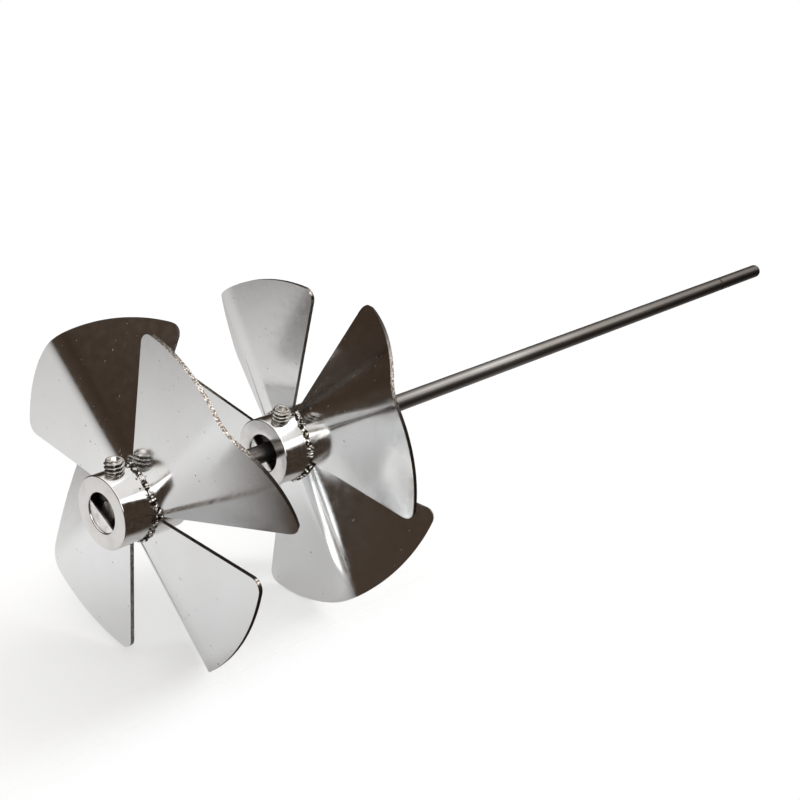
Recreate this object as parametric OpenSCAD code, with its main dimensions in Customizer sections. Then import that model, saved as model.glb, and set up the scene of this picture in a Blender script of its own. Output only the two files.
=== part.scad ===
/* Mixing shaft with two four-blade propellers of opposite hand.
   A thin rod carries two hubs. Each hub turns on a reducing bush that slides along the rod, and a
   set screw clamps the three together. The front bush ends in a half-moon lip that stops the rod. Four sheet-metal blades are welded round each hub: one half
   of a blade is flat, the other half is bent back along the blade's middle line.

   The rod lies along X. The front propeller is at the low end of X and the shank, which goes into
   the mixer's chuck, at the high end. The origin is the middle of the shank, on the rod's axis. */

/* [Rod] */
// Diameter of the rod
rod_d = 6.35; // [6:0.05:6.5]
// Length of the rod
rod_len = 409.9; // [340:0.1:440]
// Length of the shank that the chuck holds
shank_len = 38; // [30:1:45]
// Chamfer round the free end
rod_chamfer = 1.2; // [0.4:0.1:2]

/* [Hub] */
// Outside diameter of a hub
hub_d = 23.8; // [22:0.1:25]
// Bore of a hub
hub_bore_d = 13; // [12.4:0.1:13.4]
// Length of a hub
hub_len = 24; // [23:0.5:28]
// Chamfer round the hub's ends
hub_chamfer = 0.5; // [0.2:0.1:1]
// Distance between the two hubs' front faces
hub_spacing = 65.5; // [60:0.5:76]

/* [Reducing bush] */
// Depth of the bush's front end inside the hub
bush_inset = 0.5; // [0.3:0.1:2]
// Length cut away on one side of the bush's front end
bush_cut = 2.2; // [1:0.1:3.2]
// How far the cut reaches past the bush's axis
cut_past = 1.2; // [0:0.1:2]
// Running clearance of each fit, on the radius
fit_gap = 0.05; // [0.02:0.01:0.09]

/* [Set screw] */
// Outside diameter of the screw's thread
screw_d = 6.35; // [6:0.05:6.5]
// Height of the screw above the hub
screw_out = 4; // [3:0.1:8]
// Distance of the screw's axis behind the hub's front face
screw_x = 6; // [4.4:0.1:6]
// Pitch of the thread
screw_pitch = 1.27; // [1:0.01:1.5]
// Hexagon socket, across the flats
socket_af = 3.18; // [2.5:0.01:3.5]

/* [Blades] */
// Diameter of the circle through the blades' tips
propeller_d = 114.3; // [100:0.1:120]
// Thickness of the sheet
sheet = 1.5; // [1:0.1:2]
// Distance of the flat half behind the hub's front face
blade_x = 11.3; // [10.8:0.1:13]
// Angle of the blade's flat half about the shaft
flat_angle = 39; // [34:1:39]
// Angle of the blade's bent half, before it is bent
bent_angle = 49; // [40:1:49]
// Angle between the two halves
bend_angle = 39; // [24:1:40]
// How far the flat half leans back
lean_angle = 3.7; // [0:0.1:5]
// Inside radius of the bend
bend_r = 14; // [8:0.5:16]
// Radius of the two outer corners
corner_r = 4; // [2:0.5:6]

/* [Welds] */
// Radius of the weld bead
bead_r = 0.9; // [0.8:0.05:1.1]
// Height of the bead's ripples
ripple = 0.12; // [0.05:0.01:0.2]

/* [Angles about the shaft] */
// Turn of the front propeller's first blade, clockwise from the top as seen from the front
front_turn = -42; // [-60:1:-30]
// Turn of the rear propeller's first blade
rear_turn = -26; // [-60:1:-20]
// Turn of the front set screw
front_screw_turn = 0; // [-5:1:25]
// Turn of the rear set screw
rear_screw_turn = 14; // [0:1:40]
// Turn of the cut in a bush's end, on from its set screw
bush_cut_turn = 34; // [0:1:45]

/* [Hidden] */

$fn = 64;
eps = 0.01;

// Gap between the rod's end and its seat in the front bush's lip
end_gap = 0.2;

// Places along the rod, from the origin in the middle of the shank
rod_inset = bush_inset + bush_cut;
rod_end_x = shank_len / 2 + rod_chamfer;
rod_start_x = rod_end_x - rod_len;
front_x = rod_start_x - rod_inset;
rear_x = front_x + hub_spacing;

// A fine ring cut round the rod marks how deep the shank goes into the chuck
mark_w = 1;
mark_depth = 0.25;

hub_r = hub_d / 2;
bush_d = hub_bore_d - 2 * fit_gap;
bush_r = bush_d / 2;
tap_d = screw_d + 2 * fit_gap;
screw_tip = bush_r + 0.1;
screw_len = hub_r + screw_out - screw_tip;
thread_depth = 0.6 * screw_pitch;

// Blade outline and grid
root_r = hub_r + 0.2;
tip_r = propeller_d / 2;
blade_cols = 36;
blade_rows = 8;
bend_mid_r = bend_r + sheet / 2;
bend_arc = bend_mid_r * bend_angle * PI / 180;

// Weld bead grid
bead_steps = 56;
bead_sides = 6;
bead_ripples = 18;
bead_lift = bead_r + ripple + 0.05;

// ---------------------------------------------------------------- placing

// Moves a part built along Z onto the rod, and turns it about the rod
module on_rod(x, turn = 0) {
    translate([x, 0, 0])
        rotate([0, 90, 0])
            rotate([0, 0, turn + 180])
                children();
}

// ---------------------------------------------------------------- bending

// The flat sheet is laid out as (radial, sideways). Sideways distances above zero run round the bend.
function bend_at(t) = t <= 0 ? 0 : min(t / bend_mid_r * 180 / PI, bend_angle);

function bent_side(t) =
    t <= 0 ? t
    : t < bend_arc ? bend_mid_r * sin(bend_at(t))
    : bend_mid_r * sin(bend_angle) + (t - bend_arc) * cos(bend_angle);

function bent_back(t) =
    t <= 0 ? 0
    : t < bend_arc ? bend_mid_r * (1 - cos(bend_at(t)))
    : bend_mid_r * (1 - cos(bend_angle)) + (t - bend_arc) * sin(bend_angle);

// The sideways distance on the flat sheet that ends up at side s after bending
function unbent_side(s) =
    s <= 0 ? s
    : s < bend_mid_r * sin(bend_angle) ? bend_mid_r * asin(s / bend_mid_r) * PI / 180
    : bend_arc + (s - bend_mid_r * sin(bend_angle)) / cos(bend_angle);

// The whole blade leans back about its radial mid-line, so that its flat half points a little back
function leaning(side, back) = [
    side * cos(lean_angle) + back * sin(lean_angle),
    back * cos(lean_angle) - side * sin(lean_angle)
];

// A point of the bent sheet: w outwards, t sideways on the flat sheet, h off its middle surface
function on_blade(w, t, h) =
    let (b = bend_at(t), p = leaning(bent_side(t) - h * sin(b), bent_back(t) + h * cos(b)))
    [w, p[0], blade_x + p[1]];

// ---------------------------------------------------------------- blade

// Share of the blade's width, from the flat edge (0) to the bent edge (1), closer near the edges
function spread(i) = (1 - cos(180 * i / blade_cols)) / 2;

// Angle of a column at the root and at the tip
function root_angle(s) = -flat_angle + s * (flat_angle + bent_angle);

// Outer radius of a column, with the two corners rounded
function edge_gap(s) =
    tip_r * min(s, 1 - s) * (flat_angle + bent_angle) * PI / 180;
function outer_r(s) =
    edge_gap(s) >= corner_r ? tip_r
    : tip_r - corner_r + sqrt(corner_r ^ 2 - (corner_r - edge_gap(s)) ^ 2);

// Root of a column, on the hub, as [radial, sideways on the flat sheet]
function root_point(s) = [
    root_r * cos(root_angle(s)),
    unbent_side(root_r * sin(root_angle(s)))
];

function tip_point(s) = [
    outer_r(s) * cos(root_angle(s)),
    outer_r(s) * sin(root_angle(s))
];

function grid_point(i, j, h) =
    let (s = spread(i), k = j / blade_rows)
    let (p = root_point(s) * (1 - k) + tip_point(s) * k)
    on_blade(p[0], p[1], h);

module blade() {
    side_n = (blade_cols + 1) * (blade_rows + 1);
    row = blade_rows + 1;
    points = [
        for (h = [-sheet / 2, sheet / 2])
            for (i = [0:blade_cols])
                for (j = [0:blade_rows])
                    grid_point(i, j, h)
    ];
    front_faces = [
        for (i = [0:blade_cols - 1])
            for (j = [0:blade_rows - 1])
                let (a = i * row + j, b = a + row)
                each [[a, a + 1, b + 1], [a, b + 1, b]]
    ];
    back_faces = [
        for (f = front_faces)
            [side_n + f[2], side_n + f[1], side_n + f[0]]
    ];
    // The points round the outline, in order
    rim = concat(
        [for (j = [0:blade_rows]) j],
        [for (i = [1:blade_cols]) i * row + blade_rows],
        [for (j = [1:blade_rows]) blade_cols * row + blade_rows - j],
        [for (i = [1:blade_cols - 1]) (blade_cols - i) * row]
    );
    rim_faces = [
        for (k = [0:len(rim) - 1])
            let (a = rim[k], b = rim[(k + 1) % len(rim)])
            each [[b, a, side_n + a], [b, side_n + a, side_n + b]]
    ];
    polyhedron(points, concat(front_faces, back_faces, rim_faces), convexity = 4);
}

// ---------------------------------------------------------------- weld

// The bead is a closed ring: along the root on one face of the blade, through the sheet just inside
// its edge, and back along the other face. Lengths are measured along the hub's surface.
bead_from = -hub_r * flat_angle * PI / 180 + bead_r + bead_lift;
bead_to = hub_r * bent_angle * PI / 180 - bead_r - bead_lift;
bead_run = bead_to - bead_from;
bead_turn = PI * bead_lift;
bead_length = 2 * (bead_run + bead_turn);

// Distance l round the ring, as [along the root, lift off the blade's middle surface]
function bead_flat(l) =
    l < bead_run ? [bead_from + l, bead_lift]
    : l < bead_run + bead_turn ?
        let (a = 180 * (l - bead_run) / bead_turn)
        [bead_to + bead_lift * sin(a), bead_lift * cos(a)]
    : l < 2 * bead_run + bead_turn ?
        [bead_to - (l - bead_run - bead_turn), -bead_lift]
    :
        let (a = 180 * (l - 2 * bead_run - bead_turn) / bead_turn)
        [bead_from - bead_lift * sin(a), -bead_lift * cos(a)];

function bead_middle(l) =
    let (p = bead_flat(l - bead_length * floor(l / bead_length)))
    let (q = p[0] / hub_r * 180 / PI)
    let (at = on_blade(hub_r * cos(q), unbent_side(hub_r * sin(q)), p[1]))
    at + [0.3, 0, 0];

function unit(v) = v / norm(v);

module weld_bead() {
    points = [
        for (i = [0:bead_steps - 1])
            let (l = i * bead_length / bead_steps, p = bead_middle(l))
            let (ahead = unit(bead_middle(l + 0.1) - bead_middle(l - 0.1)))
            let (out = unit([p[0], p[1], 0]))
            let (across = unit(cross(ahead, out)), lift = cross(across, ahead))
            let (r = bead_r + ripple * sin(360 * bead_ripples * i / bead_steps))
            for (k = [0:bead_sides - 1])
                let (q = 360 * k / bead_sides)
                p + r * (cos(q) * across + sin(q) * lift)
    ];
    faces = [
        for (i = [0:bead_steps - 1])
            for (k = [0:bead_sides - 1])
                let (n = (i + 1) % bead_steps, m = (k + 1) % bead_sides)
                let (a = i * bead_sides, b = n * bead_sides)
                each [[a + k, b + k, b + m], [a + k, b + m, a + m]]
    ];
    polyhedron(points, faces, convexity = 4);
}

// ---------------------------------------------------------------- turned parts

// Outline of a turned cylinder with both ends chamfered, for rotate_extrude
module turned_outline(r, from, to, c_from, c_to) {
    polygon([
        [0, from],
        [r - c_from, from],
        [r, from + c_from],
        [r, to - c_to],
        [r - c_to, to],
        [0, to]
    ]);
}

module hub(x, screw_turn) {
    difference() {
        on_rod(x)
            rotate_extrude()
                turned_outline(hub_r, 0, hub_len, hub_chamfer, hub_chamfer);
        on_rod(x)
            translate([0, 0, -eps])
                cylinder(d = hub_bore_d, h = hub_len + 2 * eps);
        on_rod(x, screw_turn)
            translate([0, 0, screw_x])
                rotate([0, 90, 0])
                    cylinder(d = tap_d, h = hub_d);
    }
}

// The rod passes right through an open bush. In a closed one it stops behind the lip.
module bush(x, screw_turn, closed) {
    length = hub_len - bush_inset;
    bore_from = closed ? rod_inset - end_gap : 0;
    difference() {
        on_rod(x)
            translate([0, 0, bush_inset])
                cylinder(d = bush_d, h = length);
        on_rod(x)
            translate([0, 0, bore_from])
                cylinder(d = rod_d + 2 * fit_gap, h = hub_len - bore_from + eps);
        // The front end is cut back on one side
        on_rod(x, screw_turn + bush_cut_turn)
            translate([-cut_past, -hub_bore_d / 2, 0])
                cube([hub_bore_d, hub_bore_d, bush_inset + bush_cut]);
    }
}

// A set screw with ring grooves for its thread and a hexagon socket in its outer end
module set_screw(x, turn) {
    rings = floor((screw_len - 2 * thread_depth) / screw_pitch);
    r = screw_d / 2;
    difference() {
        on_rod(x, turn)
            translate([0, 0, screw_x])
                rotate([0, 90, 0])
                    translate([0, 0, screw_tip])
                        rotate_extrude()
                            polygon(concat(
                                [[0, 0], [r - thread_depth, 0]],
                                [
                                    for (i = [0:rings - 1])
                                        let (z = thread_depth + i * screw_pitch)
                                        each [[r, z], [r, z + 0.2], [r - thread_depth, z + 0.7 * screw_pitch]]
                                ],
                                [[r - thread_depth, screw_len], [0, screw_len]]
                            ));
        on_rod(x, turn)
            translate([0, 0, screw_x])
                rotate([0, 90, 0])
                    translate([0, 0, screw_tip + screw_len - 3])
                        cylinder(d = socket_af / cos(30), h = 4, $fn = 6);
    }
}

// ---------------------------------------------------------------- sub-parts

// The bend is on the clockwise side of the front propeller's blades
module front_blade(i) {
    color("silver") on_rod(front_x, front_turn + 90 * i) blade();
}

module rear_blade(i) {
    color("silver") on_rod(rear_x, rear_turn + 90 * i) mirror([0, 1, 0]) blade();
}

module front_weld(i) {
    color("dimgray") on_rod(front_x, front_turn + 90 * i) weld_bead();
}

module rear_weld(i) {
    color("dimgray") on_rod(rear_x, rear_turn + 90 * i) mirror([0, 1, 0]) weld_bead();
}

module shaft_rod() {
    r = rod_d / 2;
    mark_x = rod_end_x - rod_chamfer - shank_len;
    color("lightslategray")
        rotate([0, 90, 0])
            rotate_extrude()
                polygon([
                    [0, rod_start_x],
                    [r - 0.3, rod_start_x],
                    [r, rod_start_x + 0.3],
                    [r, mark_x - mark_w],
                    [r - mark_depth, mark_x - mark_w],
                    [r - mark_depth, mark_x],
                    [r, mark_x],
                    [r, rod_end_x - rod_chamfer],
                    [r - rod_chamfer, rod_end_x],
                    [0, rod_end_x]
                ]);
}

module front_bush() { color("gainsboro") bush(front_x, front_screw_turn, true); }
module rear_bush() { color("gainsboro") bush(rear_x, rear_screw_turn, false); }
module front_hub() { color("silver") hub(front_x, front_screw_turn); }
module rear_hub() { color("silver") hub(rear_x, rear_screw_turn); }
module front_blade_1() { front_blade(0); }
module front_blade_2() { front_blade(1); }
module front_blade_3() { front_blade(2); }
module front_blade_4() { front_blade(3); }
module rear_blade_1() { rear_blade(0); }
module rear_blade_2() { rear_blade(1); }
module rear_blade_3() { rear_blade(2); }
module rear_blade_4() { rear_blade(3); }
module front_weld_1() { front_weld(0); }
module front_weld_2() { front_weld(1); }
module front_weld_3() { front_weld(2); }
module front_weld_4() { front_weld(3); }
module rear_weld_1() { rear_weld(0); }
module rear_weld_2() { rear_weld(1); }
module rear_weld_3() { rear_weld(2); }
module rear_weld_4() { rear_weld(3); }
module front_set_screw() { color("gray") set_screw(front_x, front_screw_turn); }
module rear_set_screw() { color("gray") set_screw(rear_x, rear_screw_turn); }

shaft_rod();
front_bush();
rear_bush();
front_hub();
rear_hub();
front_blade_1();
front_blade_2();
front_blade_3();
front_blade_4();
rear_blade_1();
rear_blade_2();
rear_blade_3();
rear_blade_4();
front_weld_1();
front_weld_2();
front_weld_3();
front_weld_4();
rear_weld_1();
rear_weld_2();
rear_weld_3();
rear_weld_4();
front_set_screw();
rear_set_screw();
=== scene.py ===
"""Looks for the mixing shaft: a satin rod and two polished four-blade propellers of opposite hand."""

import math
import random

import bmesh
import bpy
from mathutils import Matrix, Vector


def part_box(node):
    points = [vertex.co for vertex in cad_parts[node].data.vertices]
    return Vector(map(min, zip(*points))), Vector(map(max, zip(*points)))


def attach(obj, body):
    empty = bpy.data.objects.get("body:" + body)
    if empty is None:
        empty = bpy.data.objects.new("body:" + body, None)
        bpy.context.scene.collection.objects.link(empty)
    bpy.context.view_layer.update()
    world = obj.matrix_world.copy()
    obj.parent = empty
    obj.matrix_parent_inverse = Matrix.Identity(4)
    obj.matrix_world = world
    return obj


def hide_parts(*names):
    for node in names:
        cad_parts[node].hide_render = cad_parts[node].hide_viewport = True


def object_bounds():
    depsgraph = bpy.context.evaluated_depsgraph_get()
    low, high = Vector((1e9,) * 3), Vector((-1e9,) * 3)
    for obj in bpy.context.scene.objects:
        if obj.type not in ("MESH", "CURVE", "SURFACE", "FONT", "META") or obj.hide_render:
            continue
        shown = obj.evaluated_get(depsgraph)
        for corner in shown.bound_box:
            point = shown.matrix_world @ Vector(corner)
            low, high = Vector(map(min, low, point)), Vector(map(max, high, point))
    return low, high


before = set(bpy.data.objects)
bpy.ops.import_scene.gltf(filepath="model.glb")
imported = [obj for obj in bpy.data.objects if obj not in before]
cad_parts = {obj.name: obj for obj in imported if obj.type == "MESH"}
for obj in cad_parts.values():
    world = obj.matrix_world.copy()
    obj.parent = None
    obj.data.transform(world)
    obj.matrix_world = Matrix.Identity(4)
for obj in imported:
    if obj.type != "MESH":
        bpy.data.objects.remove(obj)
CAD_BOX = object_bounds()
MM = 0.001

# ---------------------------------------------------------------- driving dimensions, lengths in mm

BLADES = 4
SHEET = 1.5
BLADE_X = 11.3
FLAT_ANGLE = 39
BENT_ANGLE = 49
BEND_ANGLE = math.radians(39)
LEAN = math.radians(3.7)
BEND_R = 14 + SHEET / 2
TIP_R = 57.15
CORNER_R = 4
BORE_R = 6.5
SCREW_R = 3.175
SCREW_X = 6
SCREW_OUT = 4
SCREW_PITCH = 1.27
SOCKET_AF = 3.18
SOCKET_DEPTH = 3
ROD_R = 3.175
MARK_FROM_END = 39.2

HUB_LOW, HUB_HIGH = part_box("front_hub")
HUB_R = (HUB_HIGH[2] - HUB_LOW[2]) / 2 / MM
HUB_LEN = (HUB_HIGH[0] - HUB_LOW[0]) / MM
ROD_LOW, ROD_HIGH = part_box("shaft_rod")

# side is +1 where the bent half is clockwise, seen from the propeller end, and -1 where it isn't
PROPELLERS = {
    "front": {"turn": -42, "screw_turn": 0, "side": 1},
    "rear": {"turn": -26, "screw_turn": 14, "side": -1},
}
for name, prop in PROPELLERS.items():
    prop["x"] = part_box(name + "_hub")[0][0] / MM


def on_rod(point, x, turn, side=1):
    """A point of a part built along +Z, in mm, moved onto the rod and turned about it, in metres."""
    px, py, pz = point[0], point[1] * side, point[2]
    a = math.radians(turn + 180)
    rx = px * math.cos(a) - py * math.sin(a)
    ry = px * math.sin(a) + py * math.cos(a)
    return Vector(((x + pz) * MM, ry * MM, -rx * MM))


# ---------------------------------------------------------------- mesh helpers

# A tube is closed to this radius at its ends, in mm
POINT_R = 0.001


def make(name, verts, faces, materials, body, node, index=None):
    """A piece from its points and faces. It rides on a body and stands for a CAD node."""
    mesh = bpy.data.meshes.new(name)
    mesh.from_pydata([tuple(v) for v in verts], [], faces)
    mesh.validate()
    bm = bmesh.new()
    bm.from_mesh(mesh)
    bmesh.ops.recalc_face_normals(bm, faces=bm.faces)
    bm.to_mesh(mesh)
    bm.free()
    for m in materials:
        mesh.materials.append(m)
    for i, poly in enumerate(mesh.polygons):
        poly.use_smooth = True
        if index:
            poly.material_index = index[i]
    piece = bpy.data.objects.new(name, mesh)
    bpy.context.scene.collection.objects.link(piece)
    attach(piece, body)
    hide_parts(node)
    return piece


def bevel(piece, width, segments, angle):
    """Rounds a piece's edges where they are sharper than angle, and keeps its flat faces flat."""
    mod = piece.modifiers.new("edge", "BEVEL")
    mod.width = width * MM
    mod.segments = segments
    mod.limit_method = "ANGLE"
    mod.angle_limit = math.radians(angle)
    mod.harden_normals = True


def tube(rings, closed):
    """Points and faces of a tube through rings, which are equal-length lists of points."""
    verts = [p for ring in rings for p in ring]
    n, m = len(rings), len(rings[0])
    faces = []
    for i in range(n if closed else n - 1):
        for k in range(m):
            a, b = i * m, (i + 1) % n * m
            faces.append((a + k, b + k, b + (k + 1) % m, a + (k + 1) % m))
    return verts, faces


def lathe(profile, x, segments):
    """One ring of points round the rod's axis for each (radius, distance along) of a profile, in mm."""
    turns = [2 * math.pi * k / segments for k in range(segments)]
    return [
        [on_rod((r * math.cos(a), r * math.sin(a), z), x, 0) for a in turns]
        for r, z in profile
    ]


def arc(cx, cz, r, start, end, steps=6):
    """Points of a rounded corner in a lathe profile, as (radius, distance along)."""
    turns = (math.radians(start + (end - start) * i / steps) for i in range(steps + 1))
    return [(cx + r * math.cos(a), cz + r * math.sin(a)) for a in turns]


# ---------------------------------------------------------------- materials


class Nodes:
    """A short way to write the nodes of a material or of the world."""

    def __init__(self, owner):
        owner.use_nodes = True
        self.owner = owner
        self.tree = owner.node_tree
        self.shader = self.tree.nodes.get("Principled BSDF")

    def add(self, kind, inputs=None, **settings):
        """A new node. Each input is a plain value or another node's output."""
        node = self.tree.nodes.new(kind)
        for key, value in settings.items():
            setattr(node, key, value)
        for key, value in (inputs or {}).items():
            if isinstance(value, bpy.types.NodeSocket):
                self.tree.links.new(value, node.inputs[key])
            else:
                node.inputs[key].default_value = value
        return node

    def place(self, scale=(1, 1, 1)):
        """Object coordinates, stretched."""
        coord = self.add("ShaderNodeTexCoord").outputs["Object"]
        return self.add("ShaderNodeMapping", {"Vector": coord, "Scale": scale}).outputs["Vector"]

    def axis(self, name):
        """One of the object coordinates by itself."""
        return self.add("ShaderNodeSeparateXYZ", {"Vector": self.place()}).outputs[name]

    def noise(self, scale, detail=2.0, stretch=(1, 1, 1), distortion=0.0):
        where = self.place(stretch)
        values = {"Vector": where, "Scale": scale, "Detail": detail, "Distortion": distortion}
        return self.add("ShaderNodeTexNoise", values).outputs["Fac"]

    def ramp(self, value, low, high, to_low=0.0, to_high=1.0):
        """Carries the range low..high over to to_low..to_high, and holds it at both ends."""
        values = {"Value": value, "From Min": low, "From Max": high}
        values.update({"To Min": to_low, "To Max": to_high})
        return self.add("ShaderNodeMapRange", values, clamp=True).outputs["Result"]

    def plus(self, a, b):
        return self.add("ShaderNodeMath", {0: a, 1: b}, operation="ADD").outputs[0]

    def mix(self, factor, a, b):
        """A blend of two colours. 0, 6, 7 and 2 are the Mix node's sockets for colours."""
        return self.add("ShaderNodeMix", {0: factor, 6: a, 7: b}, data_type="RGBA").outputs[2]

    def bump(self, height, distance, strength=1.0, under=None):
        """A relief with its height in mm, over the relief under it if there is one."""
        values = {"Height": height, "Distance": distance * MM, "Strength": strength}
        if under:
            values["Normal"] = under
        return self.add("ShaderNodeBump", values).outputs["Normal"]

    def link(self, name, output):
        """Feeds an output into the shader."""
        self.tree.links.new(output, self.shader.inputs[name])

    def set(self, **values):
        """Plain values on the shader's own inputs, and the finished material."""
        for name, value in values.items():
            self.shader.inputs[name.replace("_", " ")].default_value = value
        return self.owner


# The bush's inside has painted shade: its own colour to the first of these depths, in mm, and painted
# dark from the second
BUSH_UNSHADED_TO, BUSH_PAINTED_SHADE_FROM = 0.7, 1.3
# Painted shade on the rod: it begins to darken at the first of these X, in metres, and is darkest from
# the second
ROD_PAINTED_SHADE_FROM, ROD_PAINTED_SHADE_FULL = -0.2, 0.0


def material(name):
    return Nodes(bpy.data.materials.new(name))


def polished_sheet():
    """Bright plated sheet: a faint ripple from rolling, fine grain, dull pin-pricks and hairlines."""
    n = material("polished_sheet")
    pricks = n.ramp(n.noise(900, 1), 0.76, 0.79)
    clouds = n.ramp(n.noise(28, 3), 0.35, 0.7)
    hairs = n.ramp(n.noise(60, 6, (1, 18, 3), 0.6), 0.66, 0.72)
    tint = n.mix(clouds, (0.84, 0.85, 0.86, 1), (0.79, 0.79, 0.79, 1))
    n.link("Base Color", n.mix(pricks, tint, (0.52, 0.47, 0.42, 1)))
    grain = n.ramp(n.noise(420, 4), 0.3, 0.7, 0.10, 0.17)
    scratched = n.plus(grain, n.ramp(hairs, 0, 1, 0, 0.12))
    n.link("Roughness", n.plus(scratched, n.ramp(pricks, 0, 1, 0, 0.5)))
    wave = n.bump(n.noise(22, 1), 0.25, 0.5)
    n.link("Normal", n.bump(n.noise(2600, 2), 0.010, 0.45, wave))
    return n.set(Metallic=1.0)


def cut_edge():
    """The sheet's sheared edge, plated over its chatter marks, painted dark as painted shade with
    painted glints on the crests.
    """
    n = material("cut_edge")
    marks = n.noise(2000, 4, (1, 1, 1), 0.6)
    # Painted shade and glints: dark in the marks' hollows, lighter on their crests
    crests = n.ramp(marks, 0.46, 0.62)
    n.link("Base Color", n.mix(crests, (0.08, 0.063, 0.052, 1), (0.36, 0.34, 0.315, 1)))
    n.link("Roughness", n.ramp(marks, 0.3, 0.7, 0.40, 0.22))
    n.link("Normal", n.bump(marks, 0.05, 0.6))
    return n.set(Metallic=1.0)


def turned_bright():
    """Plated turned steel, with the lathe's faint rings left in it."""
    n = material("hub_metal")
    tone = (0.74, 0.725, 0.71)
    stained_tone = tuple(0.86 * c for c in tone)
    stain = n.ramp(n.noise(140, 4), 0.5, 0.75)
    n.link("Base Color", n.mix(stain, (*tone, 1), (*stained_tone, 1)))
    n.link("Roughness", n.ramp(n.noise(600, 3), 0.3, 0.7, 0.09, 0.20))
    feed = n.noise(5200, 1, (1, 0.01, 0.01))
    n.link("Normal", n.bump(feed, 0.012, 0.4, n.bump(n.noise(60, 2), 0.05, 0.4)))
    return n.set(Metallic=1.0)


def bush_metal(name, face_x):
    """The bush's end face is bright. Behind it the bush is painted dark, as painted shade deeper in the
    bore.
    """
    n = material(name)
    bright_x, dark_x = (face_x + BUSH_UNSHADED_TO) * MM, (face_x + BUSH_PAINTED_SHADE_FROM) * MM
    # Painted shade: the colour darkens to near black behind the bush's face
    painted_shade_depth = n.ramp(n.axis("X"), bright_x, dark_x)
    stain = n.ramp(n.noise(300, 4), 0.4, 0.7)
    face = n.mix(stain, (0.86, 0.855, 0.84, 1), (0.66, 0.65, 0.63, 1))
    n.link("Base Color", n.mix(painted_shade_depth, face, (0.045, 0.038, 0.034, 1)))
    n.link("Roughness", n.ramp(stain, 0, 1, 0.22, 0.40))
    n.link("Normal", n.bump(n.noise(500, 3), 0.04, 0.5))
    return n.set(Metallic=1.0)


def bore_steel():
    """The inside of a hub: bored, not polished, and painted near black as painted shade."""
    n = material("bore_steel")
    feed = n.noise(3000, 1, (1, 0.01, 0.01))
    # Painted shade: the bore is coloured near black all through
    n.link("Base Color", n.mix(feed, (0.030, 0.025, 0.022, 1), (0.075, 0.065, 0.06, 1)))
    n.link("Roughness", n.ramp(feed, 0.3, 0.7, 0.35, 0.5))
    n.link("Normal", n.bump(feed, 0.03, 0.5))
    return n.set(Metallic=1.0)


def satin_steel():
    """Drawn rod: long fine lines along X and brown-grey patches, with painted shade darkening it towards
    the shank.
    """
    n = material("satin_steel")
    lines = n.noise(2400, 3, (0.004, 1, 1))
    patches = n.ramp(n.noise(24, 3, (0.5, 1, 1)), 0.4, 0.62)
    fresh = n.mix(patches, (0.135, 0.122, 0.113, 1), (0.21, 0.20, 0.192, 1))
    # Painted shade: the rod's colour darkens along X towards the shank
    painted_shade_far = n.ramp(n.axis("X"), ROD_PAINTED_SHADE_FROM, ROD_PAINTED_SHADE_FULL)
    base = n.mix(painted_shade_far, fresh, (0.05, 0.041, 0.036, 1))
    n.link("Base Color", n.mix(n.ramp(lines, 0.55, 0.75, 0, 0.5), base, (0.06, 0.052, 0.046, 1)))
    n.link("Roughness", n.ramp(lines, 0.3, 0.7, 0.36, 0.50))
    n.link("Normal", n.bump(lines, 0.02, 0.5))
    return n.set(Metallic=1.0)


def weld_metal():
    """A plated weld: blotched brown-black, with small bright specks that are painted glints."""
    n = material("weld_metal")
    blots = n.noise(700, 4, (1, 1, 1), 0.8)
    # Painted glints: small near-white specks over the dark weld
    painted_glints = n.ramp(n.noise(1100, 1), 0.50, 0.56)
    dark = n.mix(n.ramp(blots, 0.45, 0.65), (0.02, 0.013, 0.009, 1), (0.13, 0.09, 0.06, 1))
    n.link("Base Color", n.mix(painted_glints, dark, (0.92, 0.90, 0.86, 1)))
    n.link("Roughness", n.ramp(blots, 0.3, 0.7, 0.06, 0.22))
    n.link("Normal", n.bump(blots, 0.4, 1.0))
    return n.set(Metallic=1.0)


def thread_metal():
    """A plated screw, with painted shade in the roots of its thread."""
    n = material("thread_metal")
    blots = n.noise(800, 3)
    # Painted shade: the thread's roots, found by pointiness, are coloured near black
    crest = n.ramp(n.add("ShaderNodeNewGeometry").outputs["Pointiness"], 0.46, 0.53)
    bright = n.mix(n.ramp(blots, 0.4, 0.7), (0.66, 0.64, 0.61, 1), (0.34, 0.30, 0.26, 1))
    n.link("Base Color", n.mix(crest, (0.03, 0.022, 0.017, 1), bright))
    n.link("Roughness", n.ramp(blots, 0.3, 0.7, 0.18, 0.34))
    n.link("Normal", n.bump(blots, 0.03, 0.5))
    return n.set(Metallic=1.0)


def rough_end():
    """The rod's end, left as the saw cut it."""
    n = material("rough_end")
    marks = n.noise(380, 5, (1, 3, 0.6), 0.9)
    crests = n.ramp(marks, 0.35, 0.65)
    n.link("Base Color", n.mix(crests, (0.20, 0.18, 0.16, 1), (0.66, 0.65, 0.63, 1)))
    n.link("Roughness", n.ramp(marks, 0.3, 0.7, 0.55, 0.3))
    n.link("Normal", n.bump(marks, 0.5, 0.9))
    return n.set(Metallic=0.9)


SHEET_METAL = polished_sheet()
EDGE_METAL = cut_edge()
HUB_METAL = turned_bright()
BORE_SHADED_METAL = bore_steel()
ROD_METAL = satin_steel()
END_METAL = rough_end()
WELD_METAL = weld_metal()
SCREW_METAL = thread_metal()

# ---------------------------------------------------------------- blades

BLADE_COLS = 96
BLADE_ROWS = 30
ROOT_UNDER_WELD = 0.3
SHEET_ROUNDING = 0.15


def bend_at(t):
    """How far the sheet has turned at sideways distance t, in radians."""
    return 0 if t <= 0 else min(t / BEND_R, BEND_ANGLE)


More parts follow.
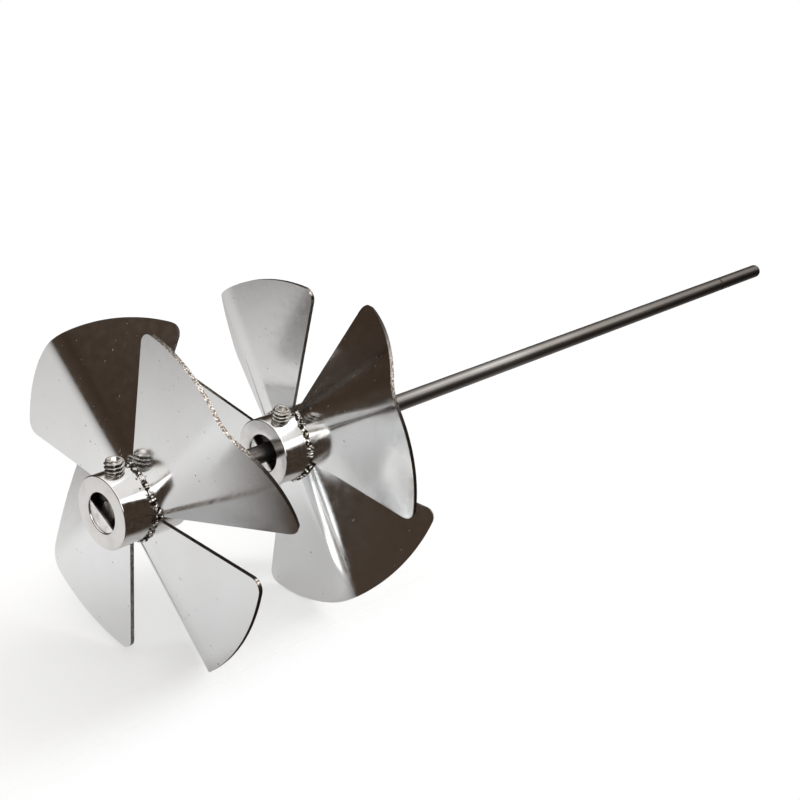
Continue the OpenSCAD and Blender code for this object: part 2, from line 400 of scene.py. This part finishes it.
def bent(t):
    """Sideways distance t on the flat sheet, as (sideways, back) after bending."""
    if t <= 0:
        return t, 0
    b = bend_at(t)
    over = max(0, t - BEND_R * BEND_ANGLE)
    side = BEND_R * math.sin(b) + over * math.cos(b)
    back = BEND_R * (1 - math.cos(b)) + over * math.sin(b)
    return side, back


def unbent(s):
    """The sideways distance on the flat sheet that ends at side s."""
    if s <= 0:
        return s
    turn = BEND_R * math.sin(BEND_ANGLE)
    if s < turn:
        return BEND_R * math.asin(s / BEND_R)
    return BEND_R * BEND_ANGLE + (s - turn) / math.cos(BEND_ANGLE)


def on_blade(w, t, h):
    """The point w out along the blade, t sideways on the flat sheet and h off its middle."""
    side, back = bent(t)
    b = bend_at(t)
    side, back = side - h * math.sin(b), back + h * math.cos(b)
    turned = side * math.cos(LEAN) + back * math.sin(LEAN)
    return w, turned, BLADE_X + back * math.cos(LEAN) - side * math.sin(LEAN)


def blade_column(part):
    """Root and tip of the grid line at part 0..1 of the blade's width, as (out, sideways)."""
    whole = math.radians(FLAT_ANGLE + BENT_ANGLE)
    a = math.radians(-FLAT_ANGLE) + part * whole
    to_edge = TIP_R * min(part, 1 - part) * whole
    r = TIP_R
    if to_edge < CORNER_R:
        r = TIP_R - CORNER_R + math.sqrt(CORNER_R**2 - (CORNER_R - to_edge) ** 2)
    root_r = HUB_R - ROOT_UNDER_WELD
    root = (root_r * math.cos(a), unbent(root_r * math.sin(a)))
    tip = (r * math.cos(a), r * math.sin(a))
    return root, tip


def build_blade(name, x, turn, side, body):
    """A bent sheet blade on a fine grid, its rim in the cut-edge metal."""
    cols, rows = BLADE_COLS, BLADE_ROWS
    verts, faces, index = [], [], []
    for h in (-SHEET / 2, SHEET / 2):
        for i in range(cols + 1):
            # the grid is finer near both edges
            root, tip = blade_column((1 - math.cos(math.pi * i / cols)) / 2)
            for j in range(rows + 1):
                k = j / rows
                w = root[0] * (1 - k) + tip[0] * k
                t = root[1] * (1 - k) + tip[1] * k
                verts.append(on_rod(on_blade(w, t, h), x, turn, side))
    row, layer = rows + 1, (cols + 1) * (rows + 1)
    for i in range(cols):
        for j in range(rows):
            a, b = i * row + j, (i + 1) * row + j
            faces.append((a, a + 1, b + 1, b))
            faces.append((layer + b, layer + b + 1, layer + a + 1, layer + a))
            index += [0, 0]
    rim = list(range(rows + 1))
    rim += [i * row + rows for i in range(1, cols + 1)]
    rim += [cols * row + rows - j for j in range(1, rows + 1)]
    rim += [(cols - i) * row for i in range(1, cols)]
    for k, a in enumerate(rim):
        b = rim[(k + 1) % len(rim)]
        faces.append((b, a, layer + a, layer + b))
        index.append(1)
    metals = [SHEET_METAL, EDGE_METAL]
    blade = make(name + "_sheet", verts, faces, metals, body, name, index)
    bevel(blade, SHEET_ROUNDING, segments=3, angle=40)


# ---------------------------------------------------------------- welds, in mm

BEAD_R = 0.6
BEAD_LIFT = SHEET / 2 + 0.3
BEAD_OUT = 0.25
BEAD_STEPS = 420
BEAD_SIDES = 18
BEAD_SCALES = 44
# Each scale of the bead is higher in its middle by this, and drifts sideways by the lean
SCALE_HEIGHT = 0.26
SCALE_LEAN = 0.22
# How far a scale may stray sideways, and how much thinner or thicker it may be
WANDER = 0.26
SWELL = (-0.22, 0.24)
# The bead stops this far short of the blade's edges and bulges past its own line at both ends
BEAD_SHORT = 0.4
END_BULGE = 0.3
# Drops: their number, radius, distance from the bead, angle off it and grid
DROPS = 60
DROP_R = (0.14, 0.36)
DROP_AWAY = (0.5, 1.9)
DROP_TURN = 0.05
DROP_AROUND = 10
DROP_UP = 6


def drop_points(centre, r):
    """Rings of points on a ball of radius r."""
    for j in range(DROP_UP + 1):
        down = math.pi * j / DROP_UP
        for i in range(DROP_AROUND):
            round_it = 2 * math.pi * i / DROP_AROUND
            yield centre + r * Vector((
                math.sin(down) * math.cos(round_it),
                math.sin(down) * math.sin(round_it),
                math.cos(down),
            ))


def build_weld(name, x, turn, side, body, seed):
    """A rippled bead round a blade's root, over both its faces, with small drops beside it."""
    rng = random.Random(seed)
    low = -math.radians(FLAT_ANGLE) * HUB_R + BEAD_SHORT
    high = math.radians(BENT_ANGLE) * HUB_R - BEAD_SHORT
    run, end = high - low, math.pi * BEAD_LIFT
    length = 2 * (run + end)
    wander = [rng.uniform(-WANDER, WANDER) for _ in range(BEAD_SCALES + 1)]
    swell = [rng.uniform(*SWELL) for _ in range(BEAD_SCALES + 1)]

    def flat(at):
        """The bead's line at distance at, as (distance round the hub, height off the sheet's middle)."""
        at %= length
        if at < run:
            return low + at, BEAD_LIFT
        if at < run + end:
            a = math.pi * (at - run) / end
            return high + END_BULGE * BEAD_LIFT * math.sin(a), BEAD_LIFT * math.cos(a)
        if at < 2 * run + end:
            return high - (at - run - end), -BEAD_LIFT
        a = math.pi * (at - 2 * run - end) / end
        return low - END_BULGE * BEAD_LIFT * math.sin(a), -BEAD_LIFT * math.cos(a)

    def middle(at):
        """The middle of the bead at distance at, on the hub's surface."""
        along, lift = flat(at)
        q = along / HUB_R
        point = on_blade(HUB_R * math.cos(q), unbent(HUB_R * math.sin(q)), lift)
        return Vector(point) + Vector((BEAD_OUT, 0, 0))

    rings = []
    for i in range(BEAD_STEPS):
        at = length * i / BEAD_STEPS
        p = middle(at)
        ahead = (middle(at + 0.05) - middle(at - 0.05)).normalized()
        out = Vector((p.x, p.y, 0)).normalized()
        across = ahead.cross(out).normalized()
        lift = across.cross(ahead)
        scale = BEAD_SCALES * at / length
        which, part = int(scale) % BEAD_SCALES, scale % 1
        r = BEAD_R + swell[which] + SCALE_HEIGHT * (abs(math.sin(math.pi * part)) ** 0.6 - 0.7)
        p = p + across * wander[which]
        ring = []
        for k in range(BEAD_SIDES):
            q = 2 * math.pi * k / BEAD_SIDES
            lean = SCALE_LEAN * math.cos(q) * (part - 0.5)
            edge = p + (r + lean) * (math.cos(q) * across + math.sin(q) * lift)
            ring.append(on_rod(edge, x, turn, side))
        rings.append(ring)
    verts, faces = tube(rings, True)
    for _ in range(DROPS):
        p = middle(rng.uniform(0, length))
        q = math.atan2(p.y, p.x) + rng.uniform(-DROP_TURN, DROP_TURN)
        z = p.z + rng.choice((-1, 1)) * rng.uniform(*DROP_AWAY)
        r = rng.uniform(*DROP_R)
        centre = Vector((HUB_R * math.cos(q), HUB_R * math.sin(q), z))
        base = len(verts)
        verts += [on_rod(point, x, turn, side) for point in drop_points(centre, r)]
        for j in range(DROP_UP):
            for i in range(DROP_AROUND):
                after = (i + 1) % DROP_AROUND
                a, b = base + j * DROP_AROUND, base + (j + 1) * DROP_AROUND
                faces.append((a + i, b + i, b + after, a + after))
    make(name + "_bead", verts, faces, [WELD_METAL], body, name)


# ---------------------------------------------------------------- turned parts, in mm

HUB_SEGMENTS = 144
HUB_ROUNDING = 0.45
ROD_SEGMENTS = 96
ROD_STEPS = 40
# Steps of the rod up to the cut mark. The mark has its own rings
ROD_STEPS_TO_MARK = 36
ROD_FRONT_ROUNDING = 0.25
ROD_END_ROUNDING = 1.1
MARK_DEPTH = 0.25


def build_hub(name, x, body):
    """A bored sleeve with rounded edges, its bore in the bore metal with painted shade."""
    e = HUB_ROUNDING
    profile = (
        arc(BORE_R + e, e, e, 180, 270)
        + arc(HUB_R - e, e, e, 270, 360)
        + arc(HUB_R - e, HUB_LEN - e, e, 0, 90)
        + arc(BORE_R + e, HUB_LEN - e, e, 90, 180)
    )
    verts, faces = tube(lathe(profile, x, HUB_SEGMENTS), True)
    # The last stretch of the outline closes it along the bore
    index = [0] * (len(faces) - HUB_SEGMENTS) + [1] * HUB_SEGMENTS
    metals = [HUB_METAL, BORE_SHADED_METAL]
    make(name + "_turned", verts, faces, metals, body, name, index)


def build_rod():
    """The rod: a rough front end, a ring cut round it at the shank and a rounded bare end."""
    start, end = ROD_LOW[0] / MM, ROD_HIGH[0] / MM
    length = end - start
    mark = end - MARK_FROM_END - start
    mark_r = ROD_R - MARK_DEPTH
    front, bare = ROD_FRONT_ROUNDING, ROD_END_ROUNDING
    profile = [(POINT_R, 0.12), (ROD_R * 0.5, 0.05)]
    profile += arc(ROD_R - front, front, front, 270, 360, 4)
    profile += [(ROD_R, length * i / ROD_STEPS) for i in range(1, ROD_STEPS_TO_MARK)]
    # Rings close to the mark and to the bare end keep the long faces between them evenly lit
    profile += [(ROD_R, mark - 1.4), (ROD_R, mark - 1.02), (mark_r, mark - 0.95)]
    profile += [(mark_r, mark - 0.05), (ROD_R, mark + 0.02), (ROD_R, mark + 0.4)]
    profile += [(ROD_R, length - 1.5)]
    profile += arc(ROD_R - bare, length - bare, bare, 0, 90, 8)
    profile += [(POINT_R, length)]
    verts, faces = tube(lathe(profile, start, ROD_SEGMENTS), False)
    # The first two strips of faces are the sawn end
    index = [1 if i < 2 * ROD_SEGMENTS else 0 for i in range(len(faces))]
    metals = [ROD_METAL, END_METAL]
    make("rod_drawn", verts, faces, metals, "shaft", "shaft_rod", index)


# ---------------------------------------------------------------- set screws, in mm

SCREW_AROUND = 66
SCREW_RINGS_PER_PITCH = 14
THREAD_DEPTH = 0.58 * SCREW_PITCH
THREAD_RUNOUT = 0.8
# The part of half a pitch that is flat, at the crest and again at the root
THREAD_FLAT = 0.12
SOCKET_CHAMFER = 0.25
SOCKET_CONE = 0.4
SCREW_OVER_BORE = 0.05


def build_screw(name, x, turn, body):
    """A set screw with a real helical thread and a hexagon socket in its outer end."""
    foot = BORE_R + SCREW_OVER_BORE
    length = HUB_R + SCREW_OUT - foot
    steps = int(length / SCREW_PITCH * SCREW_RINGS_PER_PITCH)

    def out_of_hub(px, py, pz):
        """The screw's own (x, y, height) as a point of the part built along the rod."""
        return on_rod((foot + pz, py, SCREW_X - px), x, turn)

    def ring(radius, z):
        return [
            out_of_hub(radius(a) * math.cos(a), radius(a) * math.sin(a), z)
            for a in (2 * math.pi * k / SCREW_AROUND for k in range(SCREW_AROUND))
        ]

    def thread(z):
        """The thread's outline at height z, as a radius for each angle."""
        def radius(a):
            phase = (z / SCREW_PITCH - a / (2 * math.pi)) % 1
            slope = (abs(phase - 0.5) * 2 - THREAD_FLAT) / (1 - 2 * THREAD_FLAT)
            valley = min(1, max(0, slope))
            ends = min(1, z / THREAD_RUNOUT, (length - z) / THREAD_RUNOUT)
            return SCREW_R - THREAD_DEPTH * max(valley, 1 - ends)
        return radius

    def hexagon(a):
        sector = (a + math.pi / 6) % (math.pi / 3) - math.pi / 6
        return SOCKET_AF / 2 / math.cos(sector)

    rings = [ring(lambda a: POINT_R, 0)]
    rings += [ring(thread(length * i / steps), length * i / steps) for i in range(steps + 1)]
    rings.append(ring(lambda a: hexagon(a) + SOCKET_CHAMFER, length))
    rings.append(ring(hexagon, length - SOCKET_CHAMFER))
    rings.append(ring(hexagon, length - SOCKET_DEPTH))
    rings.append(ring(lambda a: POINT_R, length - SOCKET_DEPTH - SOCKET_CONE))
    verts, faces = tube(rings, False)
    make(name + "_threaded", verts, faces, [SCREW_METAL], body, name)


# ---------------------------------------------------------------- the object

for name, prop in PROPELLERS.items():
    body = name + "_propeller"
    build_hub(name + "_hub", prop["x"], body)
    build_screw(name + "_set_screw", prop["x"], prop["screw_turn"], name + "_screw")
    for i in range(BLADES):
        turn = prop["turn"] + 360 / BLADES * i
        build_blade(f"{name}_blade_{i + 1}", prop["x"], turn, prop["side"], body)
        build_weld(f"{name}_weld_{i + 1}", prop["x"], turn, prop["side"], body, name + str(i))
    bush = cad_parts[name + "_bush"]
    bush.data.materials.clear()
    bush.data.materials.append(bush_metal(name + "_bush_metal", prop["x"]))
build_rod()

# ---------------------------------------------------------------- floor, in metres

FLOOR_REACH = 2
FLOOR_AT = (PROPELLERS["front"]["x"] * MM - 0.03, 0.06, CAD_BOX[0][2] - 0.0005)
# The floor fades between these distances from FLOOR_AT. It is a little faded from its middle on
FLOOR_FULL, FLOOR_GONE = -0.08, 0.76
# On the camera's side it fades between these two Y of the shared frame
EDGE_FULL, EDGE_GONE = -0.005, -0.038


def pale_floor():
    """White paper that fades away with distance and on the camera's side, so that it has no edge."""
    n = material("pale_floor")
    n.link("Base Color", n.mix(n.noise(6, 2), (0.57, 0.57, 0.57, 1), (0.59, 0.59, 0.59, 1)))
    n.set(Roughness=0.9, Emission_Color=(1, 1, 1, 1), Emission_Strength=0.34)
    away = n.add("ShaderNodeVectorMath", {0: n.place((1, 1, 0))}, operation="LENGTH")
    clear = n.add("ShaderNodeBsdfTransparent")
    far = n.ramp(away.outputs["Value"], FLOOR_FULL, FLOOR_GONE)
    near = n.ramp(n.axis("Y"), EDGE_GONE - FLOOR_AT[1], EDGE_FULL - FLOOR_AT[1], 1, 0)
    fade = n.add("ShaderNodeMath", {0: far, 1: near}, operation="MAXIMUM").outputs[0]
    mixed = n.add("ShaderNodeMixShader", {0: fade, 1: n.shader.outputs[0], 2: clear.outputs[0]})
    n.tree.links.new(mixed.outputs[0], n.tree.nodes["Material Output"].inputs["Surface"])
    return n.owner


mesh = bpy.data.meshes.new("floor")
corners = [(sx * FLOOR_REACH, sy * FLOOR_REACH, 0) for sx, sy in ((-1, -1), (1, -1), (1, 1), (-1, 1))]
mesh.from_pydata(corners, [], [(0, 1, 2, 3)])
mesh.materials.append(pale_floor())
floor = bpy.data.objects.new("floor", mesh)
floor.location = FLOOR_AT
bpy.context.scene.collection.objects.link(floor)

# ---------------------------------------------------------------- light

# A dim brown room with a pale ceiling, as colours by height. 0 is straight down, 1 straight up
ROOM = [
    (0.00, (0.050, 0.035, 0.025)),
    (0.30, (0.036, 0.023, 0.015)),
    (0.48, (0.050, 0.034, 0.024)),
    (0.58, (0.34, 0.30, 0.26)),
    (0.72, (1.0, 1.0, 0.99)),
]
ROOM_STRENGTH = 1.25
# Two broad soft lights. Each is full inside one angle from its direction and gone at the other
KEY_FROM = Vector((0.705, -0.235, 0.669)).normalized()
KEY_COLOUR = (3.1, 3.1, 3.06, 1)
KEY_EDGE, KEY_FULL = 30, 18
FRONT_FROM = Vector((-0.49, -0.77, 0.41)).normalized()
FRONT_COLOUR = (3.0, 3.0, 2.95, 1)
FRONT_EDGE, FRONT_FULL = 19, 11
PAPER = (1, 1, 1, 1)


def soft_light(n, where, under, centre, colour, edge, full):
    """The colours under it, with a round soft light laid over them in the direction centre."""
    facing = n.add("ShaderNodeVectorMath", {0: where, 1: centre}, operation="DOT_PRODUCT")
    values = {"Value": facing.outputs["Value"]}
    values["From Min"] = math.cos(math.radians(edge))
    values["From Max"] = math.cos(math.radians(full))
    glow = n.add("ShaderNodeMapRange", values, interpolation_type="SMOOTHSTEP")
    return n.mix(glow.outputs["Result"], under, colour)


world = bpy.data.worlds.new("studio")
bpy.context.scene.world = world
n = Nodes(world)
where = n.add("ShaderNodeTexCoord").outputs["Generated"]
height = n.add("ShaderNodeSeparateXYZ", {"Vector": where}).outputs["Z"]
room = n.add("ShaderNodeValToRGB", {"Fac": height})
stops = room.color_ramp.elements
for i, (at, colour) in enumerate(ROOM):
    # a new ramp has two stops already
    stop = stops[i] if i < 2 else stops.new(at)
    stop.position = at
    stop.color = (*colour, 1)
lit = room.outputs["Color"]
lit = soft_light(n, where, lit, FRONT_FROM, FRONT_COLOUR, FRONT_EDGE, FRONT_FULL)
lit = soft_light(n, where, lit, KEY_FROM, KEY_COLOUR, KEY_EDGE, KEY_FULL)
around = n.tree.nodes["Background"]
n.tree.links.new(lit, around.inputs["Color"])
around.inputs["Strength"].default_value = ROOM_STRENGTH
# What shows behind the object is plain white paper
paper = n.add("ShaderNodeBackground", {"Color": PAPER})
seen = n.add("ShaderNodeLightPath").outputs["Is Camera Ray"]
choice = {0: seen, 1: around.outputs[0], 2: paper.outputs[0]}
choose = n.add("ShaderNodeMixShader", choice)
n.tree.links.new(choose.outputs[0], n.tree.nodes["World Output"].inputs["Surface"])

# ---------------------------------------------------------------- camera

# It stands in front of the propellers and a little above the rod
CAMERA_FROM_HUB = Vector((-205.8, -306.5, 162.4)) * MM
LOOK = Vector((0.7009, 0.6311, -0.3324))
SENSOR_WIDTH = 36
LENS = 58.455
camera_data = bpy.data.cameras.new("camera")
camera_data.sensor_width = SENSOR_WIDTH
camera_data.lens = LENS
camera_data.clip_start = 0.01
camera = bpy.data.objects.new("camera", camera_data)
camera.location = Vector((PROPELLERS["front"]["x"] * MM, 0, 0)) + CAMERA_FROM_HUB
camera.rotation_euler = LOOK.to_track_quat("-Z", "Y").to_euler()
bpy.context.scene.collection.objects.link(camera)
bpy.context.scene.camera = camera
bpy.context.scene.view_settings.view_transform = "Standard"
